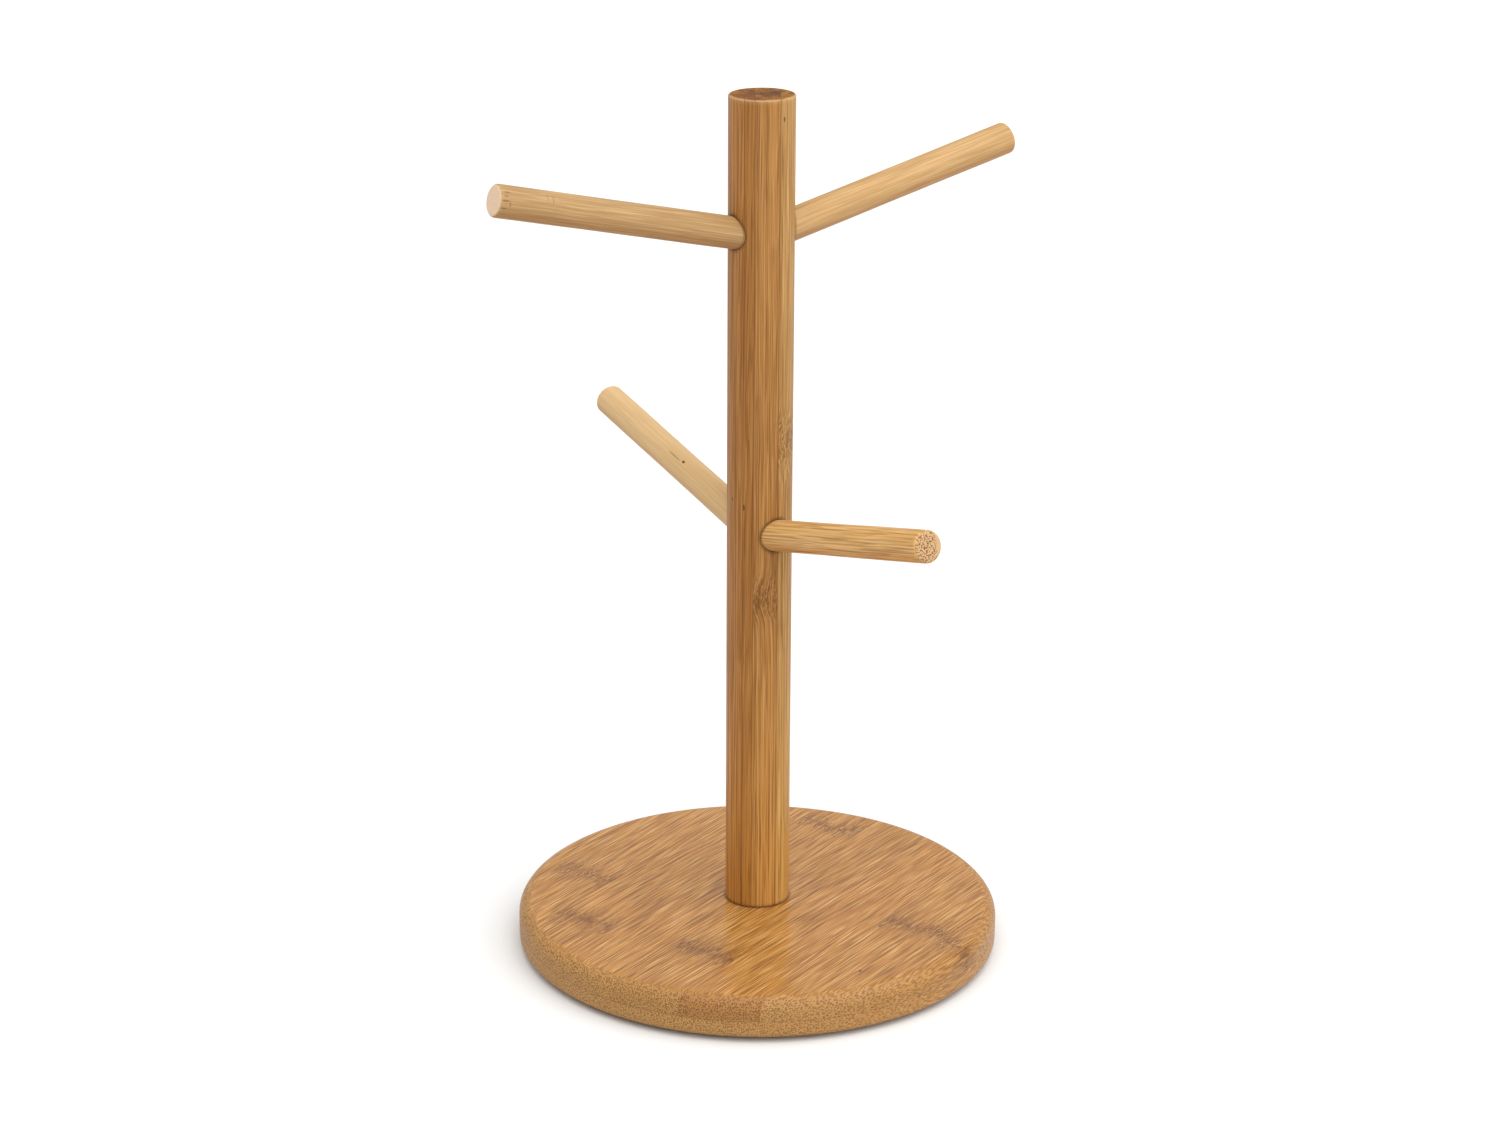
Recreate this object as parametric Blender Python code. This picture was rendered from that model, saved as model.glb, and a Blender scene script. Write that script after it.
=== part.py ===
"""Bamboo mug tree: a two-layer round base, a round post and four slanted pegs.

The post stands on the base and one wood screw from below holds it. Every peg
is glued in a blind socket of the post. Nothing moves. Four thin pads keep the
screw and the wood off the table. Units are metres, +Z is up, and the origin is
on the table, on the axis of the post.
"""

import math

import bmesh
import bpy
from mathutils import Vector

# Driving dimensions
GAP = 0.0003                    # clearance between pieces that touch

PAD_RADIUS = 0.007
PAD_THICKNESS = 0.0012
PAD_BEVEL = 0.0003
PAD_CIRCLE_RADIUS = 0.058       # from the axis to the middle of each pad

BASE_RADIUS = 0.075
LOWER_LAYER_THICKNESS = 0.0054
UPPER_LAYER_THICKNESS = 0.0069
BASE_TOP_ROUNDING = 0.0045
BASE_BOTTOM_ROUNDING = 0.0020

POST_RADIUS = 0.00995
POST_LENGTH = 0.2546
POST_TOP_ROUNDING = 0.0006
POST_FOOT_BEVEL = 0.0003

PEG_RADIUS = 0.00485
PEG_REACH = 0.0898              # from the post's axis to the tip, along the peg
PEG_TIP_ROUNDING = 0.0012
PEG_ROOT_BEVEL = 0.0004
SOCKET_FLOOR = 0.0030           # from the post's axis to the socket's floor

# Height of each pair's crossing above the base's underside; the direction of
# each peg in plan, anticlockwise from +X; and its slope above the horizontal
UPPER_PEG_HEIGHT = 0.2252
LOWER_PEG_HEIGHT = 0.1327
PEGS = {
    "peg_upper_left": (UPPER_PEG_HEIGHT, math.radians(209), math.radians(13.2)),
    "peg_upper_right": (UPPER_PEG_HEIGHT, math.radians(30), math.radians(13.2)),
    "peg_lower_back": (LOWER_PEG_HEIGHT, math.radians(123), math.radians(13.9)),
    "peg_lower_front": (LOWER_PEG_HEIGHT, math.radians(-58), math.radians(13.4)),
}

SCREW_LENGTH = 0.0400
SCREW_HEAD_RADIUS = 0.0040
SCREW_HEAD_HEIGHT = 0.0026
SCREW_HEAD_INSET = 0.0008       # head's flat above the base's underside
SCREW_SHANK_RADIUS = 0.0016
SCREW_THREAD_RADIUS = 0.0021
SCREW_THREAD_PITCH = 0.0026
SCREW_POINT_LENGTH = 0.0050
RECESS_WIDTH = 0.0011
RECESS_SPAN = 0.0044
RECESS_DEPTH = 0.0014
CUTTER_OVERRUN = 0.0040         # how far the pilot cutter sticks out of the post's foot

# Heights that follow from the dimensions
BASE_UNDERSIDE = PAD_THICKNESS + GAP
LAYER_JOINT = BASE_UNDERSIDE + LOWER_LAYER_THICKNESS
UPPER_LAYER_UNDERSIDE = LAYER_JOINT + GAP
BASE_TOP = UPPER_LAYER_UNDERSIDE + UPPER_LAYER_THICKNESS
POST_FOOT = BASE_TOP + GAP
POST_TOP = POST_FOOT + POST_LENGTH
SCREW_HEAD_FACE = BASE_UNDERSIDE + SCREW_HEAD_INSET
SCREW_TIP = SCREW_HEAD_FACE + SCREW_LENGTH

# Facets round each kind of piece
BASE_FACETS = 96
POST_FACETS = 72
PEG_FACETS = 40
SMALL_FACETS = 32
SMOOTH_ANGLE = math.radians(35)

# Colour, roughness and metallic value of each finish
FINISHES = {
    "base_bamboo": ((0.56, 0.30, 0.11), 0.40, 0.0),
    "post_bamboo": ((0.48, 0.23, 0.06), 0.45, 0.0),
    "peg_bamboo": ((0.69, 0.43, 0.17), 0.50, 0.0),
    "screw_steel": ((0.55, 0.54, 0.52), 0.35, 1.0),
    "pad_rubber": ((0.06, 0.06, 0.06), 0.80, 0.0),
}


def clear_scene():
    """Remove every object that the scene starts with."""
    for leftover in list(bpy.data.objects):
        bpy.data.objects.remove(leftover, do_unlink=True)


def make_finishes():
    """Make one Principled material for each finish."""
    made = {}
    for name, (colour, roughness, metallic) in FINISHES.items():
        material = bpy.data.materials.new(name)
        material.use_nodes = True
        shader = material.node_tree.nodes["Principled BSDF"]
        shader.inputs["Base Color"].default_value = (*colour, 1.0)
        shader.inputs["Roughness"].default_value = roughness
        shader.inputs["Metallic"].default_value = metallic
        made[name] = material
    return made


def corner(radius, height, rounding, start_degrees, steps):
    """Points of a quarter-circle round a corner's centre, anticlockwise."""
    points = []
    for step in range(steps + 1):
        angle = math.radians(start_degrees + 90 * step / steps)
        points.append((radius + rounding * math.cos(angle), height + rounding * math.sin(angle)))
    return points


def turned_mesh(name, outline, facets):
    """Turn an outline of (radius, height) points a full circle about Z.

    An outline whose ends are on the axis makes a plain solid. Any other is
    closed into a loop, which leaves a hole down the middle.
    """
    mesh = bpy.data.meshes.new(name)
    form = bmesh.new()
    corners = [form.verts.new((radius, 0, height)) for radius, height in outline]
    edges = [form.edges.new(pair) for pair in zip(corners, corners[1:])]
    if outline[0][0] > 0:
        edges.append(form.edges.new((corners[-1], corners[0])))
    bmesh.ops.spin(form, geom=corners + edges, cent=(0, 0, 0), axis=(0, 0, 1),
                   angle=math.tau, steps=facets)
    bmesh.ops.remove_doubles(form, verts=form.verts, dist=0.000001)
    bmesh.ops.recalc_face_normals(form, faces=form.faces)
    form.to_mesh(mesh)
    form.free()
    mesh.shade_smooth()
    mesh.set_sharp_from_angle(angle=SMOOTH_ANGLE)
    return mesh


def place(name, mesh, material, parent, location=(0, 0, 0)):
    """Put a mesh into the scene as a named piece with its material."""
    piece = bpy.data.objects.new(name, mesh)
    if not mesh.materials:
        mesh.materials.append(material)
    bpy.context.scene.collection.objects.link(piece)
    piece.parent = parent
    piece.location = location
    return piece


def cut(piece, cutter):
    """Take the cutter's shape out of the piece, and keep the cutter as a guide."""
    cutter.hide_render = True
    cutter.display_type = "WIRE"
    hole = piece.modifiers.new("cut_" + cutter.name, "BOOLEAN")
    hole.operation = "DIFFERENCE"
    hole.solver = "EXACT"
    hole.object = cutter


def make_base_layers(finishes, tree):
    """Two glued layers: a rounded rim above, an eased lower edge below."""
    bore = SCREW_THREAD_RADIUS + GAP
    upper = [
        (bore, UPPER_LAYER_UNDERSIDE),
        (BASE_RADIUS, UPPER_LAYER_UNDERSIDE),
        *corner(BASE_RADIUS - BASE_TOP_ROUNDING, BASE_TOP - BASE_TOP_ROUNDING,
                BASE_TOP_ROUNDING, 0, 6),
        (bore, BASE_TOP),
    ]
    sink_radius = SCREW_HEAD_RADIUS + GAP
    lower = [
        (sink_radius, BASE_UNDERSIDE),
        *corner(BASE_RADIUS - BASE_BOTTOM_ROUNDING, BASE_UNDERSIDE + BASE_BOTTOM_ROUNDING,
                BASE_BOTTOM_ROUNDING, -90, 3),
        (BASE_RADIUS, LAYER_JOINT),
        (bore, LAYER_JOINT),
        (bore, SCREW_HEAD_FACE + SCREW_HEAD_HEIGHT + GAP),
        (sink_radius, SCREW_HEAD_FACE + GAP),
    ]
    wood = finishes["base_bamboo"]
    place("base_upper_layer", turned_mesh("base_upper_layer", upper, BASE_FACETS), wood, tree)
    place("base_lower_layer", turned_mesh("base_lower_layer", lower, BASE_FACETS), wood, tree)


def make_post(finishes, tree):
    """Round post with an eased top edge and a pilot hole for the screw in its foot."""
    outline = [
        (0, POST_FOOT),
        (POST_RADIUS - POST_FOOT_BEVEL, POST_FOOT),
        (POST_RADIUS, POST_FOOT + POST_FOOT_BEVEL),
        *corner(POST_RADIUS - POST_TOP_ROUNDING, POST_TOP - POST_TOP_ROUNDING,
                POST_TOP_ROUNDING, 0, 3),
        (0, POST_TOP),
    ]
    post = place("post", turned_mesh("post", outline, POST_FACETS), finishes["post_bamboo"], tree)
    pilot_outline = [
        (0, POST_FOOT - CUTTER_OVERRUN),
        (SCREW_THREAD_RADIUS + GAP, POST_FOOT - CUTTER_OVERRUN),
        (SCREW_THREAD_RADIUS + GAP, SCREW_TIP + GAP),
        (0, SCREW_TIP + GAP + SCREW_THREAD_RADIUS),
    ]
    pilot_mesh = turned_mesh("pilot_cutter", pilot_outline, SMALL_FACETS)
    cut(post, place("pilot_cutter", pilot_mesh, finishes["post_bamboo"], tree))
    return post


def aim(piece, peg_axis, distance):
    """Stand a piece that was turned about Z along a peg's axis, at a distance from the post's axis."""
    height, azimuth, rise = peg_axis
    level = math.cos(rise)
    direction = Vector((level * math.cos(azimuth), level * math.sin(azimuth), math.sin(rise)))
    crossing = Vector((0, 0, BASE_UNDERSIDE + height))
    piece.rotation_mode = "QUATERNION"
    piece.rotation_quaternion = direction.to_track_quat("Z", "Y")
    piece.location = crossing + direction * distance


def make_pegs(finishes, tree, post):
    """Four pegs from one turned mesh, each with its own blind socket in the post."""
    root_distance = SOCKET_FLOOR + GAP
    length = PEG_REACH - root_distance
    peg_outline = [
        (0, 0),
        (PEG_RADIUS - PEG_ROOT_BEVEL, 0),
        (PEG_RADIUS, PEG_ROOT_BEVEL),
        *corner(PEG_RADIUS - PEG_TIP_ROUNDING, length - PEG_TIP_ROUNDING,
                PEG_TIP_ROUNDING, 0, 4),
        (0, length),
    ]
    socket_outline = [
        (0, 0),
        (PEG_RADIUS + GAP, 0),
        (PEG_RADIUS + GAP, 2 * POST_RADIUS),
        (0, 2 * POST_RADIUS),
    ]
    wood = finishes["peg_bamboo"]
    peg_mesh = turned_mesh("peg", peg_outline, PEG_FACETS)
    socket_mesh = turned_mesh("socket_cutter", socket_outline, PEG_FACETS)
    for name, peg_axis in PEGS.items():
        peg = place(name, peg_mesh, wood, tree)
        aim(peg, peg_axis, root_distance)
        socket = place("socket_" + name, socket_mesh, wood, tree)
        aim(socket, peg_axis, SOCKET_FLOOR)
        cut(post, socket)


def screw_outline():
    """Countersunk head, plain neck, ridges of thread and a sharp point, head down."""
    neck = SCREW_HEAD_FACE + SCREW_HEAD_HEIGHT
    thread_end = SCREW_TIP - SCREW_POINT_LENGTH
    ridges = int((thread_end - POST_FOOT) / SCREW_THREAD_PITCH)
    points = [(0, SCREW_HEAD_FACE), (SCREW_HEAD_RADIUS, SCREW_HEAD_FACE), (SCREW_SHANK_RADIUS, neck)]
    for ridge in range(ridges):
        start = POST_FOOT + ridge * SCREW_THREAD_PITCH
        points.append((SCREW_SHANK_RADIUS, start))
        points.append((SCREW_THREAD_RADIUS, start + SCREW_THREAD_PITCH / 4))
        points.append((SCREW_SHANK_RADIUS, start + SCREW_THREAD_PITCH / 2))
    points.append((SCREW_SHANK_RADIUS, thread_end))
    points.append((0, SCREW_TIP))
    return points


def make_screw(finishes, tree):
    """Wood screw with a cross recess, driven up through the base into the post."""
    steel = finishes["screw_steel"]
    screw = place("post_screw", turned_mesh("post_screw", screw_outline(), SMALL_FACETS), steel, tree)
    for index, (width, depth) in enumerate(((RECESS_SPAN, RECESS_WIDTH), (RECESS_WIDTH, RECESS_SPAN))):
        slot_mesh = bpy.data.meshes.new("recess_cutter")
        form = bmesh.new()
        bmesh.ops.create_cube(form, size=1)
        bmesh.ops.scale(form, vec=(width, depth, 2 * RECESS_DEPTH), verts=form.verts)
        form.to_mesh(slot_mesh)
        form.free()
        slot = place("recess_%d" % index, slot_mesh, steel, tree, (0, 0, SCREW_HEAD_FACE))
        cut(screw, slot)


def make_pads(finishes, tree):
    """Four thin round pads, one under each quarter of the base."""
    outline = [
        (0, 0),
        (PAD_RADIUS - PAD_BEVEL, 0),
        (PAD_RADIUS, PAD_BEVEL),
        (PAD_RADIUS, PAD_THICKNESS),
        (0, PAD_THICKNESS),
    ]
    pad_mesh = turned_mesh("pad", outline, SMALL_FACETS)
    quarters = (("back_right", 45), ("back_left", 135), ("front_left", 225), ("front_right", 315))
    for corner_name, degrees in quarters:
        angle = math.radians(degrees)
        spot = (PAD_CIRCLE_RADIUS * math.cos(angle), PAD_CIRCLE_RADIUS * math.sin(angle), 0)
        place("pad_" + corner_name, pad_mesh, finishes["pad_rubber"], tree, spot)


def main():
    """Build the whole mug tree under one empty on the table."""
    clear_scene()
    finishes = make_finishes()
    tree = bpy.data.objects.new("mug_tree", None)
    bpy.context.scene.collection.objects.link(tree)
    make_base_layers(finishes, tree)
    post = make_post(finishes, tree)
    make_pegs(finishes, tree, post)
    make_screw(finishes, tree)
    make_pads(finishes, tree)


main()
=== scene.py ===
import math
import bpy
import numpy as np
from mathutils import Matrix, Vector


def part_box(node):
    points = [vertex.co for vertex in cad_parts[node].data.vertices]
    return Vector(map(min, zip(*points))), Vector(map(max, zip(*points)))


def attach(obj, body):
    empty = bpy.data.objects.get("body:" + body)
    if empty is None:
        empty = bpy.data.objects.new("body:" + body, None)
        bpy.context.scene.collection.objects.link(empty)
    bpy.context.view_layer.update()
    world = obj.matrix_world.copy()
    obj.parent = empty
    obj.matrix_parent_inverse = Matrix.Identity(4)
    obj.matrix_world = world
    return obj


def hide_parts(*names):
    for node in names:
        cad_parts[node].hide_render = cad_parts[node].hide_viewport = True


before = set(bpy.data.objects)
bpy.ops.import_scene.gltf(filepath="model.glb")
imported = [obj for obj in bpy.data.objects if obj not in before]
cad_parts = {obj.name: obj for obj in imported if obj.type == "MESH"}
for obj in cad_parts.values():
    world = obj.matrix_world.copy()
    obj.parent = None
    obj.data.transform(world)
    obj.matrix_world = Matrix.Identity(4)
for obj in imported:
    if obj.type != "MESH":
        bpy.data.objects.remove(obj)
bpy.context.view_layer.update()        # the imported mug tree, in metres, standing on z = 0
mm = 0.001
sharpDegrees = 40        # faces that meet at more than this stay a sharp edge
hair = 0.01 * mm         # smallest step that tells two heights apart
print("frame loaded:", len(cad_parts), "nodes")


def straight(start, end, count):
    # evenly spaced points, start + (end - start) * step, with the end left out
    steps = np.linspace(0, 1, count, endpoint=False)[:, None]
    return np.array(start) + (np.array(end) - np.array(start)) * steps


def bow(middle, radius, startDegrees, endDegrees, count):
    # points of an arc: middle + radius * (cos turn, sin turn), in the plane of radius and height
    turn = np.radians(np.linspace(startDegrees, endDegrees, count))
    return np.stack([middle[0] + radius * np.cos(turn), middle[1] + radius * np.sin(turn)], axis=1)


def roundTurns(count):
    # angles of a full circle, evenly spaced
    return np.linspace(0, 2 * np.pi, count, endpoint=False)


def ramp(values, start, end):
    # (value - start) / (end - start), kept between 0 and 1; start may lie above end
    return np.clip((values - start) / (end - start), 0, 1)


def turnedGrid(profile, turns):
    # each profile point (radius, height) goes round the axis: (radius cos turn, radius sin turn, height)
    radius = profile[:, 0][:, None]
    height = profile[:, 1][:, None] + 0 * turns[None, :]
    return np.stack([radius * np.cos(turns), radius * np.sin(turns), height], axis=2)


def surfaceMesh(name, grid, ring=False):
    # rows follow the profile, columns go round and join up; a ring's last row joins its first row,
    # and any other surface shrinks to a single point at both ends
    columns = grid.shape[1]
    body = grid if ring else grid[1:-1]
    index = np.arange(body.shape[0] * columns).reshape(body.shape[0], columns)
    nearRow = index if ring else index[:-1]
    farRow = np.roll(index, -1, axis=0) if ring else index[1:]
    quads = [nearRow, np.roll(nearRow, -1, axis=1), np.roll(farRow, -1, axis=1), farRow]
    quads = np.stack(quads, axis=2).reshape(-1, 4)
    points = body.reshape(-1, 3)
    fans = np.zeros((0, 3), int)
    if not ring:
        first, last = len(points), len(points) + 1
        points = np.concatenate([points, grid[0, :1], grid[-1, :1]])
        startFan = np.stack([np.full(columns, first), np.roll(index[0], -1), index[0]], axis=1)
        endFan = np.stack([np.full(columns, last), index[-1], np.roll(index[-1], -1)], axis=1)
        fans = np.concatenate([startFan, endFan])
    # the volume comes out positive when the faces look outwards
    a, b, c, d = (points[quads[:, k]] for k in range(4))
    volume = np.sum(a * np.cross(b, c)) + np.sum(a * np.cross(c, d))
    e, f, g = (points[fans[:, k]] for k in range(3))
    if volume + np.sum(e * np.cross(f, g)) < 0:
        quads, fans = quads[:, ::-1], fans[:, ::-1]
    mesh = bpy.data.meshes.new(name)
    mesh.vertices.add(len(points))
    mesh.vertices.foreach_set("co", points.astype(np.float32).ravel())
    corners = np.concatenate([quads.ravel(), fans.ravel()]).astype(np.int32)
    fanStarts = 4 * len(quads) + 3 * np.arange(len(fans))
    starts = np.concatenate([4 * np.arange(len(quads)), fanStarts])
    mesh.loops.add(len(corners))
    mesh.loops.foreach_set("vertex_index", corners)
    mesh.polygons.add(len(starts))
    mesh.polygons.foreach_set("loop_start", starts.astype(np.int32))
    mesh.update(calc_edges=True)
    mesh.validate()
    smoothShade(mesh)
    return mesh


def smoothShade(mesh):
    mesh.shade_smooth()
    mesh.set_sharp_from_angle(angle=math.radians(sharpDegrees))


def meshPoints(mesh):
    # all vertex places as one array
    places = np.zeros(len(mesh.vertices) * 3, np.float32)
    mesh.vertices.foreach_get("co", places)
    return places.reshape(-1, 3).astype(float)


def writeAttribute(mesh, name, values):
    # one vector for each vertex
    layer = mesh.attributes.new(name, "FLOAT_VECTOR", "POINT")
    layer.data.foreach_set("vector", values.astype(np.float32).ravel())


def addObject(name, data):
    made = bpy.data.objects.new(name, data)
    bpy.context.scene.collection.objects.link(made)
    return made


def addPiece(name, mesh, finish, nodes):
    piece = addObject(name, mesh)
    mesh.materials.clear()
    mesh.materials.append(finish)
    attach(piece, "root")
    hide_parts(*nodes)
    print("made", name, len(mesh.polygons), "faces")
    return piece


class Wire:
    # one socket of a finish; arithmetic on it adds the Math nodes that work it out
    def __init__(self, finish, socket):
        self.finish = finish
        self.socket = socket

    def __add__(self, other):
        return self.finish.maths("ADD", self, other)

    def __sub__(self, other):
        return self.finish.maths("SUBTRACT", self, other)

    def __rsub__(self, other):
        return self.finish.maths("SUBTRACT", other, self)

    def __mul__(self, other):
        return self.finish.maths("MULTIPLY", self, other)

    def __truediv__(self, other):
        return self.finish.maths("DIVIDE", self, other)

    def __rtruediv__(self, other):
        return self.finish.maths("DIVIDE", other, self)

    def __pow__(self, other):
        return self.finish.maths("POWER", self, other)

    def __abs__(self):
        return self.finish.maths("ABSOLUTE", self)

    __radd__ = __add__
    __rmul__ = __mul__


class Finish:
    # a Principled material that is filled in by add()
    def __init__(self, name):
        self.material = bpy.data.materials.new(name)
        self.material.use_nodes = True
        self.nodes = self.material.node_tree.nodes
        self.links = self.material.node_tree.links
        self.shader = self.nodes["Principled BSDF"]

    def feed(self, socket, value):
        if isinstance(value, Wire):
            self.links.new(value.socket, socket)
        else:
            socket.default_value = value

    def add(self, kind, settings, sockets, out=0):
        # settings first, then the sockets' values or links; out is the output that is used
        made = self.nodes.new(kind)
        for key, value in settings.items():
            if key == "stops":
                self.setStops(made.color_ramp, value)
            elif key == "blending":
                made.color_ramp.interpolation = value
            else:
                setattr(made, key, value)
        for key, value in sockets.items():
            self.feed(made.inputs[key], value)
        return Wire(self, made.outputs[out])

    def setStops(self, band, stops):
        # a band has two elements to begin with, so there are always at least two stops
        while len(band.elements) < len(stops):
            band.elements.new(1.0)
        for element, (place, shade) in zip(band.elements, stops):
            element.position = place
            element.color = colour(*shade)

    def maths(self, operation, *values):
        return self.add("ShaderNodeMath", {"operation": operation}, dict(enumerate(values)))

    def vector(self, x, y, z):
        return self.add("ShaderNodeCombineXYZ", {}, {0: x, 1: y, 2: z})

    def axes(self, vector):
        parted = self.add("ShaderNodeSeparateXYZ", {}, {0: vector})
        return [Wire(self, socket) for socket in parted.socket.node.outputs]

    def objectAxes(self):
        # the place on the piece, in millimetres
        return [axis / mm for axis in self.axes(self.add("ShaderNodeTexCoord", {}, {}, out=3))]

    def attributeAxes(self, name):
        # the three values that the mesh carries under this name
        return self.axes(self.add("ShaderNodeAttribute", {"attribute_name": name}, {}, out=1))

    def fade(self, value, start, end):
        # 0 at start, 1 at end, smooth between, either way round
        return self.add("ShaderNodeMapRange", {"interpolation_type": "SMOOTHSTEP"},
                        {"Value": value, "From Min": start, "From Max": end})

    def noise(self, vector, scale=1.0, detail=2.0, roughness=0.5):
        sockets = {"Vector": vector, "Scale": scale, "Detail": detail, "Roughness": roughness}
        return self.add("ShaderNodeTexNoise", {}, sockets)

    def noiseAxes(self, vector, detail=1.0):
        # three unrelated noises about zero
        sockets = {"Vector": vector, "Scale": 1.0, "Detail": detail}
        shades = self.add("ShaderNodeTexNoise", {}, sockets, out=1)
        return [channel - 0.5 for channel in self.axes(shades)]

    def tint(self, factor, first, second, blend="MIX"):
        # goes from the first colour to the second as the factor goes from 0 to 1
        settings = {"data_type": "RGBA", "blend_type": blend, "clamp_factor": True}
        return self.add("ShaderNodeMix", settings, {0: factor, 6: first, 7: second}, out=2)

    def bump(self, height, distance):
        return self.add("ShaderNodeBump", {}, {"Distance": distance, "Height": height})

    def principled(self, **values):
        for key, value in values.items():
            self.feed(self.shader.inputs[key], value)


def colour(red, green, blue):
    return (red, green, blue, 1.0)


def stripRamp(wood, place, span, values):
    # a value for each glued strip, held from where the strip starts
    stops = [((start + span) / (2 * span), value) for start, value in values]
    return wood.add("ShaderNodeValToRGB", {"blending": "CONSTANT", "stops": stops}, {"Fac": place})


knotRange = 400          # a ramp holds the places of the nodes as shares of this many millimetres
knotPattern = 1.7        # how far the pattern moves across for each millimetre of its node's place


def bambooFinish(name, look):
    # bamboo as a solid: bundles of fibre run along the grain, so they show as streaks on a long face
    # and as dots on a cut end; the grain attribute is (across, through, along) in millimetres
    wood = Finish(name)
    across, through, along = wood.attributeAxes("grain")
    worn, cutEnd, grimeAndJointShade = wood.attributeAxes("edges")
    longSide = 1 - cutEnd

    # each strip has its own node, tone and pattern
    strips, span = look["strips"], look["span"]
    place = (across + span) / (2 * span)
    knotShare = stripRamp(wood, place, span, [(row[0], (0.5 + row[1] / knotRange,) * 3) for row in strips])
    knotAt = (wood.axes(knotShare)[0] - 0.5) * knotRange
    stripTone = stripRamp(wood, place, span, [(row[0], row[2]) for row in strips])
    endTone = stripRamp(wood, place, span, [(row[0], row[3]) for row in strips])
    tilt = wood.axes(stripTone)[0] - 1
    patternX = across + knotAt * knotPattern + along * tilt * look["tilt"] + look["shift"]

    def shade(key):
        return colour(*look[key])

    def spot(acrossScale, alongScale):
        # the place in the pattern, stretched for a noise
        return wood.vector(patternX * acrossScale, through * acrossScale, along * alongScale)

    # the node is a ragged band across the strip with a thin ridge line in it
    slow, ragged, blotch = wood.noiseAxes(spot(0.16, 0.05))
    quick, torn, speck = wood.noiseAxes(spot(0.9, 0.10), 3.0)
    fromRidge = along - knotAt + slow * look["knotDrift"] + torn * 3
    fromKnot = fromRidge + quick * look["knotRagged"]
    band = 1 / (1 + (fromKnot / look["knotWidth"]) ** 4)
    core = 1 / (1 + (fromRidge / look["ridgeWidth"]) ** 2)

    # the fibres wander a little, and bow and swirl at a node
    sway, lean = wood.noiseAxes(spot(0.07, 0.035))[:2]
    swirlX, swirlY = wood.noiseAxes(spot(0.45, 0.40))[:2]
    fibreX = patternX + sway * look["wander"] + band * (swirlX * look["swirl"] + look["arch"])
    fibreY = through + lean * look["wander"] + band * swirlY * look["swirl"]

    def fibreNoise(kind, seed):
        # streaks, strokes or dashes along the fibres; the seed keeps one kind apart from another
        thin, drawn = look[kind + "Across"], look[kind + "Along"]
        return wood.noise(wood.vector(fibreX * thin + seed, fibreY * thin, along * drawn), detail=1.0)

    flat = {"voronoi_dimensions": "2D"}
    cells = {"Vector": wood.vector(fibreX, fibreY, 0.0), "Scale": 1 / look["cell"], "Randomness": 0.85}
    nearest = wood.add("ShaderNodeTexVoronoi", flat, cells)
    cellTone = wood.axes(wood.add("ShaderNodeTexVoronoi", flat, cells, out=1))[0]
    dense = wood.fade(across, look["denseFrom"], look["denseTo"])
    inside = wood.fade(nearest / (look["bundle"] * (0.6 + 0.7 * cellTone)), 1.0, 0.6)
    bundle = inside * (look["bundleFloor"] + (1 - look["bundleFloor"]) * dense)

    # fine streaks, sparse dark and pale strokes, and broad bands of tone
    streak = fibreNoise("streak", 0)
    stroke = fibreNoise("stroke", 40)
    dashes = fibreNoise("dash", 80)
    broad = wood.noise(spot(0.30, 0.012))
    streaked = 0.5 + (wood.fade(streak, 0.42, 0.58) - 0.5) * longSide
    tone = wood.tint(streaked, shade("dark"), shade("light"))
    tone = wood.tint(wood.fade(broad, 0.35, 0.68) * look["broad"], tone, shade("warm"))
    for start, end, amount, faded in look["alongTones"]:
        tone = wood.tint(wood.fade(along, start, end) * amount, tone, colour(*faded))
    paleStroke = wood.fade(stroke, 0.56, 0.66) * longSide
    tone = wood.tint(paleStroke * look["pale"], tone, shade("paleLine"))
    darkStroke = wood.fade(stroke, 0.44, 0.34) * longSide
    tone = wood.tint(darkStroke * look["darkLines"], tone, shade("fibre"))
    tone = wood.tint(cutEnd * look["endDark"], tone, shade("end"))
    lines = bundle * (look["bundleLong"] * longSide + look["bundleEnd"] * cutEnd)
    tone = wood.tint(lines, tone, shade("fibre"))

    # each strip's own tone, painted shade that darkens the underside, and the tone of each strip's cut end
    tone = wood.tint(1.0, tone, stripTone, "MULTIPLY")
    paintedUnderShade = wood.fade(through, *look["paintedUnderShadeFade"]) * longSide
    tone = wood.tint(paintedUnderShade, tone, shade("paintedUnderShadeTone"), "MULTIPLY")
    tone = wood.tint(cutEnd, tone, wood.tint(1.0, tone, endTone, "MULTIPLY"))

    # the node's veil, flecks and ridge, then stains, wear, and grime with painted shade where parts meet
    flecks = wood.fade(dashes, look["dashFrom"], look["dashFrom"] + 0.07)
    knotted = band * (look["knotVeil"] * (1 + 1.5 * blotch) + look["knotFlecks"] * flecks)
    ridge = core * (0.55 + 1.2 * speck + 0.6 * flecks)
    tone = wood.tint(knotted + ridge * look["knotCore"], tone, shade("knot"))
    cloud = wood.noise(spot(0.33, 0.02), detail=4.0, roughness=0.6)
    stain = wood.fade(cloud, 0.38, 0.68)
    tone = wood.tint(cutEnd * stain * look["endStain"], tone, shade("pit"))
    tone = wood.tint(worn * (0.6 + 1.2 * ragged) * look["wear"], tone, shade("wornTone"))
    tone = wood.tint(grimeAndJointShade * look["grimeAndJointShade"], tone, shade("knot"))

    # hairlines where strips meet, and single marks, each (across, through, along, width, length, strength)
    lowered = 0.0
    for seam in look["seams"]:
        hairline = wood.fade(abs(across - seam), 0.30, 0.08)
        tone = wood.tint(hairline * look["seamDark"], tone, shade("knot"))
    for x, y, z, wide, length, strength in look["marks"]:
        apart = ((across - x) / wide) ** 2 + ((through - y) / wide) ** 2 + ((along - z) / length) ** 2
        mark = wood.fade(apart, 1.6, 0.5) * strength
        lowered = lowered + mark
        tone = wood.tint(mark, tone, shade("pit"))

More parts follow.
